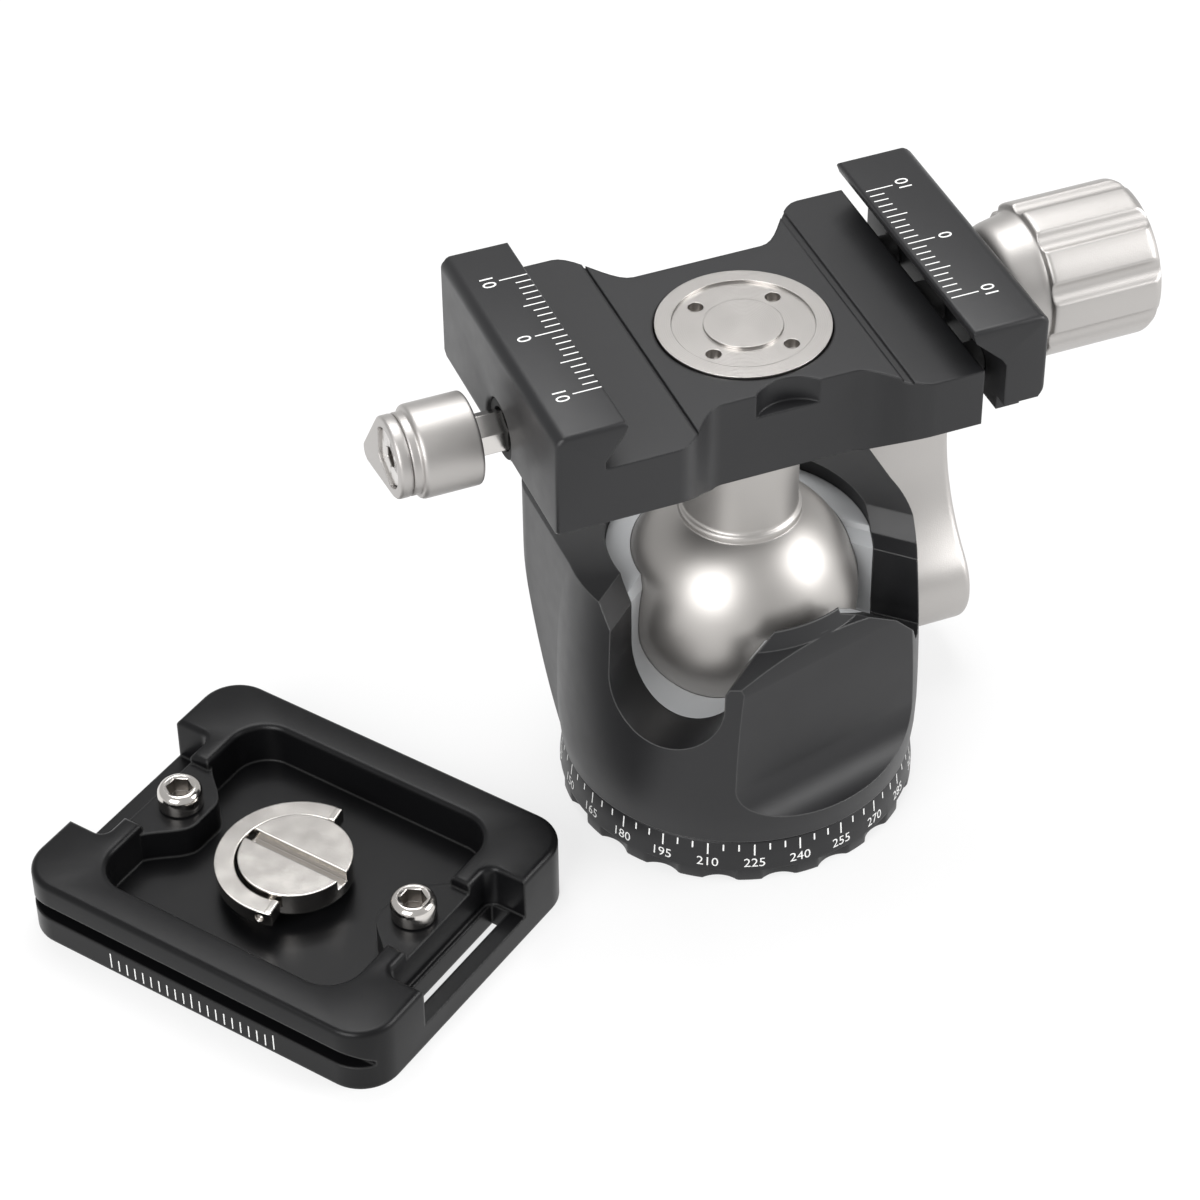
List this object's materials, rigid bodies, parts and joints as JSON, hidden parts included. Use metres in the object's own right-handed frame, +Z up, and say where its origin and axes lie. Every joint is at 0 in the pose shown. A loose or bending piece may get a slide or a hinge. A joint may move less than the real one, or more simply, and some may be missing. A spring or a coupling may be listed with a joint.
{
  "type": "tripod ball head",
  "caption": "Tripod ball head with a notched round housing, a wing lock knob, a dovetail clamp, a stowed key and a loose camera plate.",
  "frame": {"origin": "mouth of the tripod socket, at the middle of the base's underside", "axes": "+Z up along the pan axis; +X across the clamp's jaws towards the clamp knob; +Y along the jaws, away from the housing's front flat"},
  "size_m": [0.1221, 0.0557, 0.0646],
  "materials": {
    "black_aluminium": "bead-blasted and black anodised",
    "satin_silver": "bead-blasted silver anodised",
    "machined_steel": "turned",
    "polished_steel": "polished",
    "grey_plastic": "moulded matt",
    "black_rubber": "matt"
  },
  "bodies": {
    "base": {"base_hub": "black_aluminium", "degree_ring": "black_aluminium", "tripod_bushing": "polished_steel", "friction_washer": "grey_plastic"},
    "housing": {"housing": "black_aluminium", "ball_liner": "grey_plastic", "pan_spring_washer": "polished_steel", "pan_nut": "polished_steel"},
    "seat": {"ball_seat": "grey_plastic", "seat_spring": "polished_steel"},
    "ball": {"ball": "satin_silver"},
    "clamp": {"clamp_body": "black_aluminium", "clamp_disc": "machined_steel", "guide_pins": "polished_steel", "jaw_springs": "polished_steel", "tool_ring": "black_rubber"},
    "moving_jaw": {"moving_jaw": "black_aluminium"},
    "clamp_knob": {"clamp_knob": "satin_silver", "clamp_screw": "polished_steel", "clamp_washer": "polished_steel"},
    "tool": {"tool_handle": "satin_silver", "tool_hex_bar": "polished_steel", "tool_blade": "satin_silver", "tool_end_screw": "polished_steel"},
    "lock_knob": {"lock_knob": "satin_silver", "lock_screw": "polished_steel", "lock_knob_screw": "polished_steel", "lock_washer": "polished_steel"},
    "lock_sleeve_left": {"lock_sleeve_left": "polished_steel"},
    "lock_sleeve_right": {"lock_sleeve_right": "polished_steel"},
    "plate": {"plate": "black_aluminium", "stop_screws": "polished_steel"},
    "camera_screw": {"camera_screw": "polished_steel", "d_ring_pins": "polished_steel"},
    "d_ring": {"d_ring": "polished_steel"}
  },
  "joints": [
    {"name": "pan", "type": "hinge", "parent": "base", "child": "housing", "pos_m": [0, 0, 0.007], "axis": [0, 0, 1], "range_deg": [-150, 125]},
    {"name": "ball_azimuth", "type": "hinge", "parent": "housing", "child": "seat", "pos_m": [0, 0, 0.0253], "axis": [0, 0, 1], "continuous": true},
    {"name": "ball_tilt", "type": "hinge", "parent": "seat", "child": "ball", "pos_m": [0, 0, 0.0253], "axis": [0, 1, 0], "range_deg": [-25, 25]},
    {"name": "ball_spin", "type": "hinge", "parent": "ball", "child": "clamp", "pos_m": [0, 0, 0.0495], "axis": [0, 0, 1], "continuous": true},
    {"name": "jaw_slide", "type": "slide", "parent": "clamp", "child": "moving_jaw", "axis": [1, 0, 0], "range_m": [-0.002, 0.001]},
    {"name": "clamp_knob_turn", "type": "hinge", "parent": "moving_jaw", "child": "clamp_knob", "pos_m": [0.0374, 0, 0.05636], "axis": [1, 0, 0], "range_deg": [-900.1, 450.1]},
    {"name": "tool_pull", "type": "slide", "parent": "clamp", "child": "tool", "axis": [-1, 0, 0], "range_m": [0, 0.02]},
    {"name": "lock_knob_turn", "type": "hinge", "parent": "housing", "child": "lock_knob", "pos_m": [0.0255, 0.0148, 0.0189], "axis": [1, 0, 0], "range_deg": [0, 140.1]},
    {"name": "sleeve_left_slide", "type": "slide", "parent": "housing", "child": "lock_sleeve_left", "axis": [-1, 0, 0], "range_m": [0, 0.00036]},
    {"name": "sleeve_right_slide", "type": "slide", "parent": "housing", "child": "lock_sleeve_right", "axis": [1, 0, 0], "range_m": [0, 0.00035]},
    {"name": "plate_on_floor", "type": "slide", "parent": "base", "child": "plate", "axis": [-1, 0, 0], "range_m": [0, 0.03]},
    {"name": "camera_screw_turn", "type": "hinge", "parent": "plate", "child": "camera_screw", "pos_m": [-0.0519, -0.0032, 0.004], "axis": [0, 0, 1], "continuous": true},
    {"name": "d_ring_fold", "type": "hinge", "parent": "camera_screw", "child": "d_ring", "pos_m": [-0.0519, -0.0032, 0.00595], "axis": [0.7096, 0.7046, 0], "range_deg": [0, 100]}
  ],
  "couplings": [
    {"joint": "clamp_knob_turn", "follows": "jaw_slide", "rad_per_m": 7854},
    {"joint": "lock_knob_turn", "follows": "sleeve_right_slide", "rad_per_m": 6981.3},
    {"joint": "sleeve_left_slide", "follows": "sleeve_right_slide", "ratio": 1}
  ]
}
